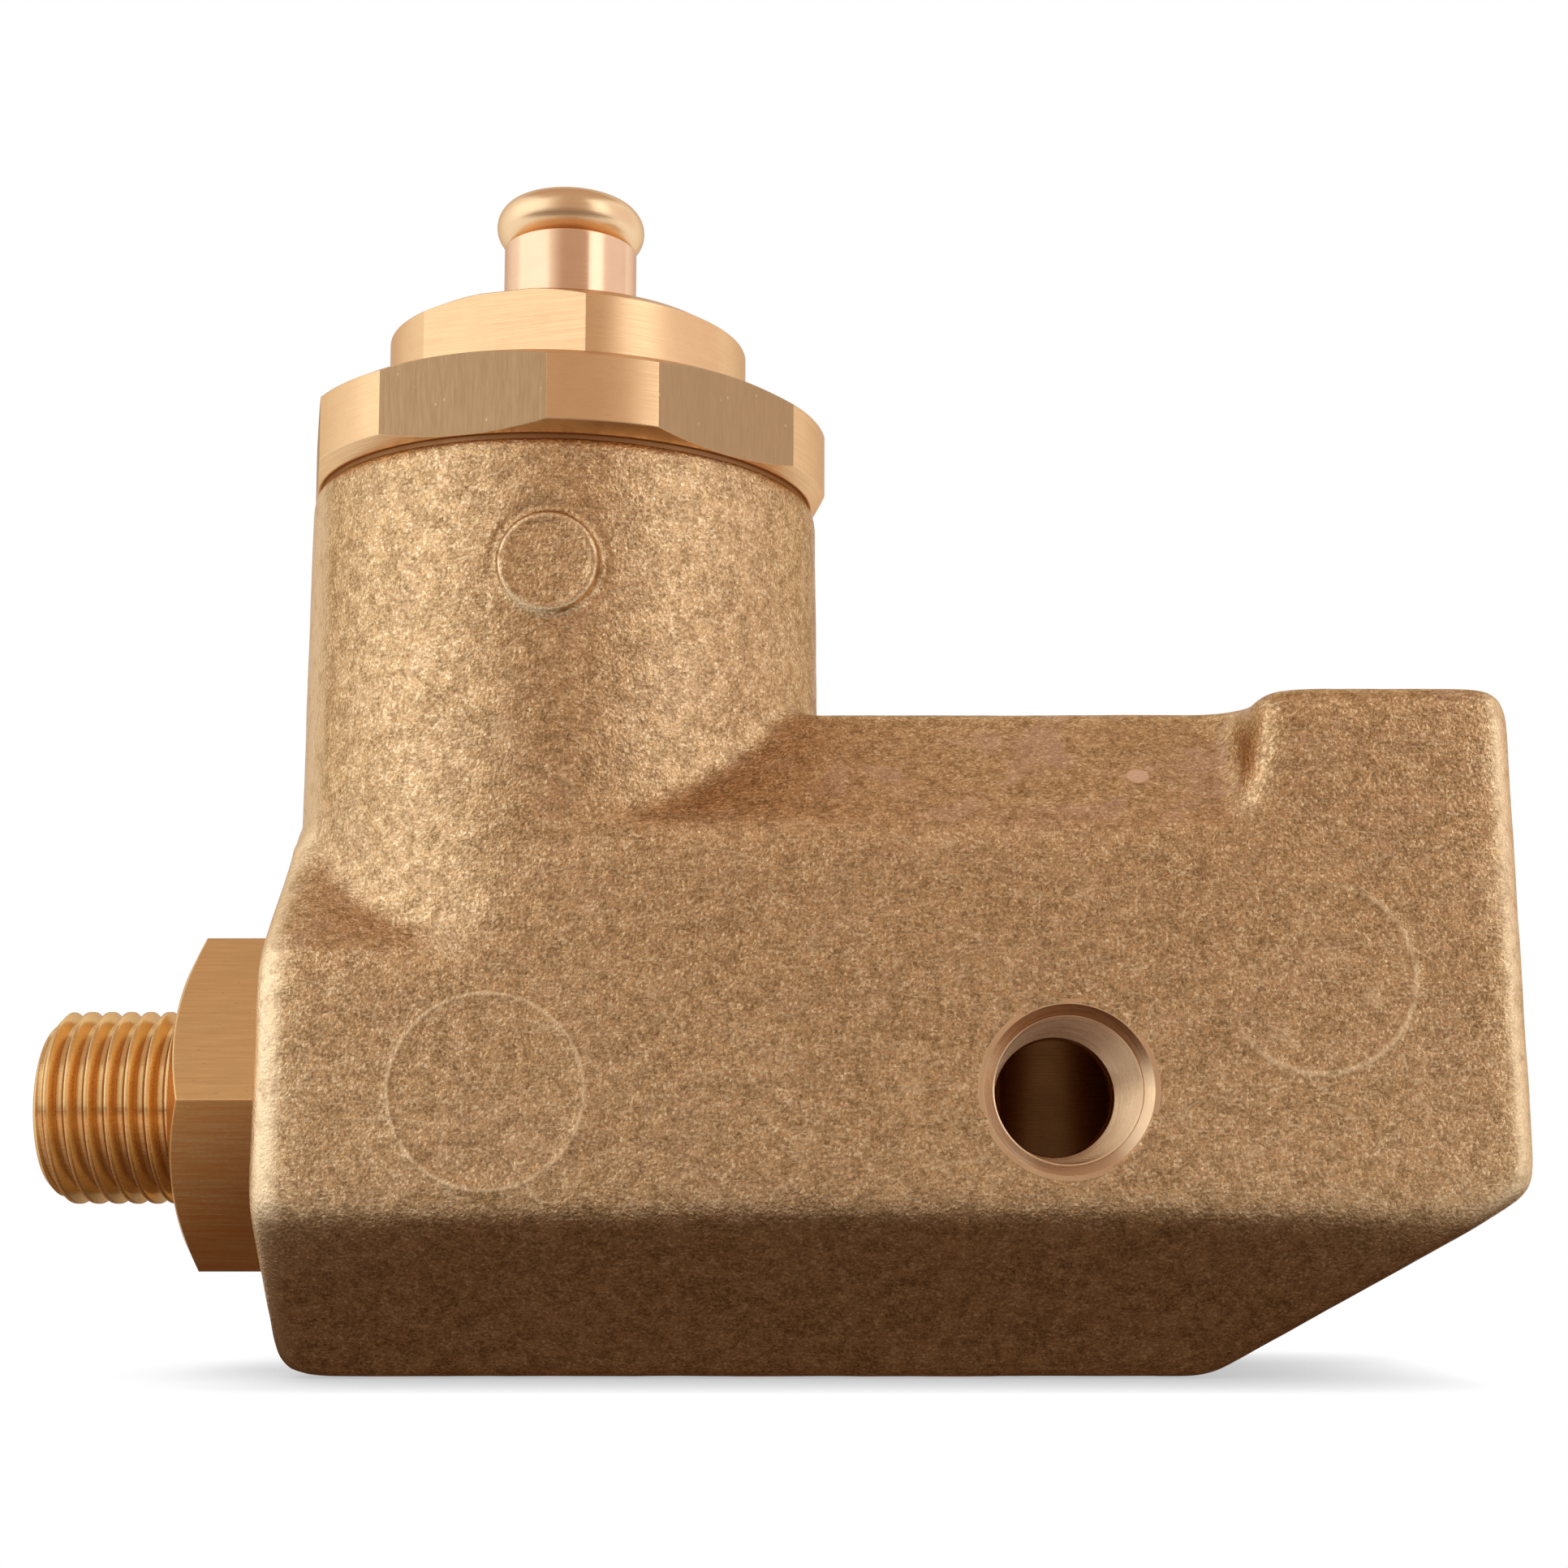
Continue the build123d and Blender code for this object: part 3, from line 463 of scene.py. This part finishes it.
def soft_piece(name, base, rough):
    """Rubber and plastic pieces: faint mould grain and dusty wear."""
    made, n = material(name)
    grain = n.noise(n.coords(), 5.0, 3.0, 0.6)
    dust = n.noise(n.coords(), 0.7, 3.0, 0.6)
    pale = tuple(c + 0.10 * (1 - c) for c in base)
    colour = n.mix(n.map(dust, 0.4, 0.75, 0.0, 0.6), base, pale)
    colour = n.mix(n.times(n.worn_edges(0.1), 0.3), colour, pale)
    roughness = n.map(grain, 0.3, 0.7, rough - 0.08, rough + 0.08)
    n.surface(colour, 0.0, roughness, n.bump(grain, 0.25, 0.01))
    return made


CAST = cast_brass()
BORED = machined_brass("bored_brass", (0.85, 0.53, 0.25), (0.22, 0.34), "z", 0.008)
# the port lining's downward faces take a painted shade
PORT = machined_brass(
    "port_turned_brass", (0.98, 0.70, 0.44), (0.22, 0.34), "y", 0.002, 0.02,
    underside_shade=(0.50, 0.27, 0.15),
)
# the nipple's downward faces take a painted shade
NIPPLE = machined_brass(
    "nipple_drawn_brass", (0.92, 0.61, 0.285), (0.16, 0.28), "drawn", 0.006, 0.17,
    underside_shade=(0.82, 0.37, 0.12),
)
BONNET = bonnet_brass()
SPINDLE = polished_brass()
# dark brown for the ring in the joint under the bonnet: painted shade
FOOT_SHADE = machined_brass("foot_painted_shade_brass", (0.36, 0.18, 0.075), (0.45, 0.6), "z", 0.006)
BAR = machined_brass("inner_bar_brass", (0.90, 0.64, 0.34), (0.22, 0.34), "z", 0.006)
COPPER = plain_metal("washer_copper", (0.86, 0.46, 0.30), 0.32)
STEEL = plain_metal("spring_steel_drawn", (0.42, 0.42, 0.43), 0.30, (1.0, 1.0, 4.0))
RUBBER = soft_piece("black_rubber_moulded", (0.018, 0.018, 0.019), 0.55)
POLYMER = soft_piece("white_polymer_turned", (0.78, 0.77, 0.73), 0.42)

for names, finish, label in (
    (("bonnet",), BONNET, "bar_brass"),
    (("inlet_nipple",), NIPPLE, "nipple_brass"),
    (("lift_spindle",), SPINDLE, "polished_brass"),
    (("nipple_washer",), COPPER, "copper_washer"),
    (("seat_ring", "poppet", "disc_washer", "disc_nut"), BAR, "bar_brass"),
    (("spindle_lock_nut", "spindle_bush"), BAR, "bar_brass"),
    (("upper_spring_plate", "lower_spring_plate"), STEEL, "spring_steel"),
    (("setting_shim", "bush_circlip"), STEEL, "spring_steel"),
    (("seat_o_ring", "bonnet_o_ring", "spindle_o_ring", "seat_disc"), RUBBER, "black_rubber"),
    (("guide_ring", "gland_washer"), POLYMER, "white_polymer"),
):
    for name in names:
        NODES[name].data.materials.clear()
        NODES[name].data.materials.append(finish)


# ------------------------------------------------------------------ mesh helpers
def link(name, mesh):
    made = bpy.data.objects.new(name, mesh)
    bpy.context.scene.collection.objects.link(made)
    return made


def settle(obj):
    """Applies obj's modifiers to its own mesh."""
    graph = bpy.context.evaluated_depsgraph_get()
    done = bpy.data.meshes.new_from_object(obj.evaluated_get(graph))
    obj.modifiers.clear()
    obj.data = done


def cut(obj, tool):
    """Takes tool away from obj."""
    step = obj.modifiers.new("cut", "BOOLEAN")
    step.operation = "DIFFERENCE"
    step.solver = "MANIFOLD"
    step.object = tool
    settle(obj)


def welded(mesh):
    """The mesh as a bmesh, with the points that lie on each other joined."""
    bm = bmesh.new()
    bm.from_mesh(mesh)
    bmesh.ops.remove_doubles(bm, verts=bm.verts, dist=2e-7)
    return bm


def dress(mesh, finish, sharp):
    """Smooth shading that keeps the edges over sharp degrees, and one finish."""
    mesh.polygons.foreach_set("use_smooth", np.ones(len(mesh.polygons), bool))
    mesh.set_sharp_from_angle(angle=radians(sharp))
    mesh.materials.append(finish)


def vectors_of(items, name):
    """One vector of each point or face, as the rows of an array."""
    flat = np.empty(len(items) * 3)
    items.foreach_get(name, flat)
    return flat.reshape(-1, 3)


def away_from(points, axis, place):
    """Distance in mm from a line along axis through place, for points in metres."""
    keep = [i for i in range(3) if i != axis]
    near = points[:, keep] / MM - np.array([place[i] for i in keep])
    return np.hypot(near[:, 0], near[:, 1])


# ------------------------------------------------------------------ the casting
def in_cavity(points):
    """True where a point lies on a bored or faced surface rather than on the cast skin."""
    found = np.zeros(len(points), bool)
    for axis, place, radius, start, end in CAVITIES:
        along = points[:, axis] / MM
        found |= (away_from(points, axis, place) < radius) & (along > start) & (along < end)
    return found


def outer_shell():
    """The casting's outside with its openings closed over."""
    bm = welded(NODES["valve_body"].data)
    bm.faces.ensure_lookup_table()
    inside = in_cavity(np.array([f.calc_center_median() for f in bm.faces]))
    bmesh.ops.delete(bm, geom=[f for f, gone in zip(bm.faces, inside) if gone], context="FACES")
    rims = [e for e in bm.edges if e.is_boundary]
    bmesh.ops.holes_fill(bm, edges=rims, sides=0)
    bmesh.ops.triangulate(bm, faces=bm.faces)
    bmesh.ops.recalc_face_normals(bm, faces=bm.faces)
    mesh = bpy.data.meshes.new("casting_shell")
    bm.to_mesh(mesh)
    bm.free()
    return mesh


def smoothed(points, edges, normals, weight, rounds, fill):
    """Moves each point part of the way to its neighbours' middle; outward moves only by fill."""
    count = len(points)
    a, b = edges[:, 0], edges[:, 1]
    share = np.maximum(np.bincount(a, minlength=count) + np.bincount(b, minlength=count), 1)
    for _ in range(int(rounds * (1.0))):
        step = np.empty_like(points)
        for axis in range(3):
            line = points[:, axis]
            total = np.bincount(a, line[b], count) + np.bincount(b, line[a], count)
            step[:, axis] = total / share - line
        outward = np.clip((step * normals).sum(axis=1), 0, None)
        step -= ((1 - fill) * outward)[:, None] * normals
        points = points + 0.5 * weight[:, None] * step
    return points


def block_distance(p, top, slope_z):
    """Rough distance in mm outside one run of the block, from its top and its slope."""
    slope = (np.abs(p[:, 1]) - FRONT + p[:, 2] - slope_z) / 2 ** 0.5
    return np.maximum(np.maximum(p[:, 2] - top, slope), np.abs(p[:, 1]) - FRONT)


def crease_weight(p):
    """1 along the crease where the barrel meets the block, 0 elsewhere."""
    barrel = np.hypot(p[:, 0], p[:, 1]) - BARREL_RADIUS - (BARREL_TOP - p[:, 2]) * BARREL_FALL
    right = np.abs(block_distance(p, RUN_TOP, RUN_SLOPE_Z)) + 50 * (p[:, 0] < -2)
    left = np.abs(block_distance(p, SHOULDER_TOP, SHOULDER_SLOPE_Z)) + 50 * (p[:, 0] > 4)
    near = np.maximum(np.abs(barrel), np.minimum(right, left))
    return np.clip((2.6 - near) / 1.6, 0, 1) * (p[:, 2] > 20) * (p[:, 2] < 48)


def loose_weight(points, p):
    """1 on the cast skin, 0 on the pad and little at the barrel's mouth, which stay crisp."""
    pad = away_from(points, 1, (PAD_X, 0, PAD_Z))
    loose = np.where(p[:, 1] < 0, np.clip((pad - PAD_RADIUS - 0.9) / 1.2, 0, 1), 1.0)
    return loose * np.clip((58.2 - p[:, 2]) / 1.5, 0.25, 1)


def mark_rise(points, normals, p):
    """How far in mm each point stands out: the two circles and the pad's rim with its groove."""
    rise = np.full(len(points), -0.012)
    flat = normals[:, 1] < -0.9
    for x, z, radius in (LEFT_MARK, RIGHT_MARK):
        ring = np.abs(away_from(points, 1, (x, 0, z)) - radius)
        rise += 0.07 * np.clip(1 - ring / 0.4, 0, 1) * flat
    pad = away_from(points, 1, (PAD_X, 0, PAD_Z)) - PAD_RADIUS
    on_pad = (p[:, 1] < -15) & (p[:, 2] > 45)
    for height, out in ((0.14, -0.25), (-0.19, 0.35)):
        rise += height * np.clip(1 - np.abs(pad - out) / 0.45, 0, 1) * on_pad
    return rise


def soften(mesh):
    """Gives the even mesh the soft creases, the ends and the pattern marks of a casting."""
    points, normals = vectors_of(mesh.vertices, "co"), vectors_of(mesh.vertices, "normal")
    edges = np.empty(len(mesh.edges) * 2, int)
    mesh.edges.foreach_get("vertices", edges)
    edges = edges.reshape(-1, 2)
    p = points / MM
    crease, loose = crease_weight(p), loose_weight(points, p)
    points = smoothed(points, edges, normals, loose, 56, 0.12)
    points = smoothed(points, edges, normals, np.maximum(crease * loose, 0.15), 30, 1.0)

    # the square boss's flank leans and is rounder still
    past_flank = (p[:, 0] - BOSS_X) / 4
    upper = np.clip((p[:, 2] - 33) / 3, 0, 1)
    rise = np.clip(block_distance(p, RUN_TOP, RUN_SLOPE_Z) - 0.15, 0, 6) * (p[:, 0] > BOSS_X - 1)
    lean = 0.10 * rise * np.clip(1 - past_flank, 0, 1)
    lean -= 0.6 * upper * np.clip(1 - past_flank ** 2, 0, 1) ** 2
    points[:, 0] += lean * MM
    flank = np.clip((4.0 - np.abs(p[:, 0] - BOSS_X)) / 1.5, 0, 1) * upper
    points = smoothed(points, edges, normals, flank, 8, 0.0)

    # the left end stands out round its spot face, with rounder corners
    spot = away_from(points, 0, (0, 0, FLOW_Z))
    corner = np.clip((spot - 13.3) / 1.5, 0, 1)
    corner *= np.clip((-14.0 - p[:, 0]) / 2.0, 0, 1)
    corner *= np.clip((SHOULDER_TOP + 0.5 - p[:, 2]) / 2.0, 0, 1)
    points = smoothed(points, edges, normals, corner, 60, 0.0)
    points[:, 0] -= 0.65 * MM * corner

    points = points + normals * mark_rise(points, normals, p)[:, None] * MM
    mesh.vertices.foreach_set("co", points.ravel())
    mesh.update()


def cast_skin():
    """The casting with a soft, uneven skin, and with its bored and faced surfaces still true."""
    skin = link("valve_casting", outer_shell())
    closed = skin.data.copy()
    remesh = skin.modifiers.new("even", "REMESH")
    remesh.mode = "VOXEL"
    remesh.voxel_size = 0.27 * MM
    settle(skin)
    soften(skin.data)

    clouds = bpy.data.textures.new("cast_unevenness", "CLOUDS")
    clouds.noise_scale = 5 * MM
    clouds.noise_depth = 3
    uneven = skin.modifiers.new("uneven", "DISPLACE")
    uneven.texture = clouds
    uneven.texture_coords = "LOCAL"
    uneven.strength = 0.09 * MM
    uneven.mid_level = 1.0
    settle(skin)

    # the cavities are what the closed form has over the CAD part, and are cut from the skin
    cavities = link("cavities", closed)
    solid = link("solid", NODES["valve_body"].data.copy())
    bm = welded(solid.data)
    bm.to_mesh(solid.data)
    bm.free()
    cut(cavities, solid)
    cut(skin, cavities)
    for spare in (cavities, solid):
        bpy.data.objects.remove(spare)

    mesh = skin.data
    mesh.materials.clear()
    dress(mesh, CAST, 32)
    mesh.materials.append(BORED)
    bored = in_cavity(vectors_of(mesh.polygons, "center"))
    mesh.polygons.foreach_set("material_index", bored.astype(np.int32))
    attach(skin, "valve")
    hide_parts("valve_body")


cast_skin()


# ------------------------------------------------------------------ turned details
def lathe(name, profile, place, axis, finish):
    """A closed ring turned from a profile of (distance along axis, radius) points, in mm."""
    steps, count = 128, len(profile)
    verts, faces = [], []
    for i in range(steps):
        a = 2 * pi * i / steps
        for along, radius in profile:
            if axis == "y":
                spot = (place[0] + radius * cos(a), place[1] + along, place[2] + radius * sin(a))
            else:
                spot = (place[0] + radius * cos(a), place[1] + radius * sin(a), place[2] + along)
            verts.append([c * MM for c in spot])
        for k in range(count):
            j, k2 = (i + 1) % steps, (k + 1) % count
            faces.append((i * count + k, j * count + k, j * count + k2, i * count + k2))
    mesh = bpy.data.meshes.new(name)
    mesh.from_pydata(verts, [], faces)
    bm = bmesh.new()
    bm.from_mesh(mesh)
    bmesh.ops.recalc_face_normals(bm, faces=bm.faces)
    bm.to_mesh(mesh)
    bm.free()
    dress(mesh, finish, 25)
    made = link(name, mesh)
    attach(made, "valve")
    return made


def port_profile():
    """The port's chamfered mouth and its finely tooled wall, which narrows to the throat."""
    ridges, outside = 44, 5.6
    wall = [(0.05, 5.27), (0.66, 4.66), (0.70, 4.72), (0.84, 4.72)]
    for k in range(ridges):
        along, deep = 0.95 + 0.24 * k, k / ridges
        radius = 4.60 - 0.10 * deep - 0.52 * deep ** 3
        wall += [(along, radius + 0.05), (along + 0.035, radius - 0.05)]
    return wall + [(11.62, 3.92), (11.64, outside), (0.05, outside)]


lining = lathe("port_lining", port_profile(), (PORT_X, -FRONT, PORT_Z), "y", PORT)
# a dark ring fills the joint between the casting and the bonnet; its dark colour is painted shade
foot_profile = [(-0.9, 16.2), (0.0, 16.2), (0.0, 16.95), (-0.9, 16.95)]
foot = lathe("bonnet_foot", foot_profile, (0, 0, BARREL_TOP), "z", FOOT_SHADE)


# ------------------------------------------------------------------ the relief spring
def coil(name, low, high, mean, wire, turns, flat_ends=0.75):
    """A round-wire coil spring with its end turns closed, as one swept mesh, in mm."""
    per_turn, sides, least_rise = 48, 14, 0.12
    steps = int(turns * per_turn)
    pitch = (high - low - 2 * wire) / (turns - 1)
    rise, path = low + wire, []
    for i in range(steps + 1):
        turn = i / per_turn
        starting = max(least_rise, turn / flat_ends)
        ending = max(least_rise, (turns - turn) / flat_ends)
        path.append((turn, rise))
        rise += min(1.0, starting, ending) * pitch / per_turn
    stretch = (high - wire - low - wire) / (path[-1][1] - path[0][1])
    verts, faces = [], []
    for turn, z in path:
        a = 2 * pi * turn
        z = low + wire + (z - low - wire) * stretch
        for k in range(sides):
            b = 2 * pi * k / sides
            r = mean + wire * cos(b)
            verts.append((r * cos(a) * MM, r * sin(a) * MM, (z + wire * sin(b)) * MM))
    for i in range(steps):
        for k in range(sides):
            k2 = (k + 1) % sides
            a, b = i * sides, (i + 1) * sides
            faces.append((a + k, b + k, b + k2, a + k2))
    faces.append(tuple(range(sides)))
    faces.append(tuple(steps * sides + k for k in reversed(range(sides))))
    mesh = bpy.data.meshes.new(name)
    mesh.from_pydata(verts, [], faces)
    dress(mesh, STEEL, 40)
    return link(name, mesh)


spring_low, spring_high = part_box("relief_spring")
SPRING_FOOT, SPRING_HEAD = spring_low.z / MM, spring_high.z / MM
spring = coil("relief_spring_coil", SPRING_FOOT, SPRING_HEAD, 8.0, 1.1, 5.5)
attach(spring, "valve")
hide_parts("relief_spring")
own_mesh(spring)


# ------------------------------------------------------------------ studio
def sheet(name, width, height, finish):
    """A flat stage piece, level and centred until it is placed."""
    w, h = width / 2, height / 2
    mesh = bpy.data.meshes.new(name)
    mesh.from_pydata([(-w, -h, 0), (w, -h, 0), (w, h, 0), (-w, h, 0)], [], [(0, 1, 2, 3)])
    mesh.materials.append(finish)
    return link(name, mesh)


def card(name, place, size, turn, tone, fade=0.001):
    """A plain glowing card, seen only in reflections and out of the camera's sight, that pales
    towards its left edge over the fade.
    """
    finish, n = material(name)
    left = -size[0] / 2
    across = n.split(n.place())[0]
    n.output(n.glow(n.mix(n.map(across, left, fade + left), (0.95, 0.90, 0.84), tone)))
    made = sheet(name, *size, finish)
    made.location = place
    made.rotation_euler = [radians(a) for a in turn]
    made.visible_camera = made.visible_diffuse = made.visible_shadow = False


def air():
    """An even light of half strength, which is white to the camera and in the metal."""
    world = bpy.data.worlds.new("studio_air")
    bpy.context.scene.world = world
    world.use_nodes = True
    n = Nodes(world.node_tree)
    light = n.add("ShaderNodeBackground")
    light.inputs["Color"].default_value = (*WHITE, 1.0)
    n.put(light.inputs["Strength"], n.map(n.seen(), 0, 1, 0.5, 1.0, smooth=False))
    n.output(light.outputs[0], "ShaderNodeOutputWorld")


def open_floor():
    """White where it is open, with the object's shadow painted in from ambient occlusion: faint
    to the camera, darker and warm under it in the metal.
    """
    finish, n = material("pale_floor")
    near_shade = n.add("ShaderNodeAmbientOcclusion", samples=8)
    near_shade.inputs["Distance"].default_value = 9 * MM
    wide_shade = n.add("ShaderNodeAmbientOcclusion", samples=8)
    wide_shade.inputs["Distance"].default_value = 130 * MM
    # painted shadows: a faint near one for the camera, and a wide, dark, warm one for the metal's
    # reflections
    light_shadow = n.mix(near_shade.outputs["AO"], (0.5, 0.5, 0.5), WHITE)
    full_shadow = n.mix(n.map(wide_shade.outputs["AO"], 0.72, 1.02), (0.13, 0.085, 0.06), WHITE)
    camera_ray = n.add("ShaderNodeLightPath").outputs["Is Camera Ray"]
    matt = n.add("ShaderNodeBsdfDiffuse")
    matt.inputs["Color"].default_value = (0.8, 0.8, 0.8, 1)
    blend = n.add("ShaderNodeMixShader")
    n.put(blend.inputs[0], n.seen())
    n.put(blend.inputs[1], matt.outputs[0])
    n.put(blend.inputs[2], n.glow(n.mix(camera_ray, full_shadow, light_shadow)))
    n.output(blend.outputs[0])
    floor = sheet("floor", 6.0, 6.0, finish)


def softbox(name, place, size, watts):
    """A rectangular lamp turned towards the middle of the part."""
    lamp = bpy.data.lights.new(name, "AREA")
    lamp.shape = "RECTANGLE"
    lamp.size, lamp.size_y = size
    lamp.energy = watts
    holder = bpy.data.objects.new(name, lamp)
    bpy.context.scene.collection.objects.link(holder)
    holder.location = place
    aim = Vector((0.015, 0.0, 0.035)) - Vector(place)
    holder.rotation_euler = aim.to_track_quat("-Z", "Y").to_euler()


def eye():
    """The photograph's view: from low in front, looking up a little."""
    lens = bpy.data.cameras.new("camera")
    lens.lens = 54.35
    lens.sensor_width = 36.0
    lens.shift_x, lens.shift_y = -0.0487, 0.1207
    lens.clip_start, lens.clip_end = 0.01, 20.0
    camera = bpy.data.objects.new("camera", lens)
    bpy.context.scene.collection.objects.link(camera)
    camera.location = (0.0206, -0.1628, 0.0114)
    camera.rotation_euler = (radians(95.5), 0, 0)
    bpy.context.scene.camera = camera


bpy.context.scene.view_settings.view_transform = "Standard"
air()
open_floor()
# warm glowing cards in front, on the table, beside and overhead, which only the metal's
# reflections see: painted reflections
card("front_card", (0.02, -0.55, 0.40), (0.78, 0.80), (90, 0, 7), (0.52, 0.385, 0.30), 0.34)
card("table_card", (0.03, -0.33, 0.0005), (0.80, 0.48), (0, 0, 0), (0.26, 0.19, 0.15))
card("side_card", (0.70, 0.04, 0.25), (0.7, 0.9), (90, 0, 90), (0.88, 0.78, 0.76), 0.1)
card("top_card", (0.0, -0.10, 0.80), (1.0, 0.9), (0, 0, 0), (0.55, 0.41, 0.33))
softbox("softbox_left", (-0.60, -0.36, 0.22), (0.9, 0.8), 0.7)
softbox("softbox_right", (0.50, -0.46, 0.22), (0.4, 0.8), 0.5)
eye()
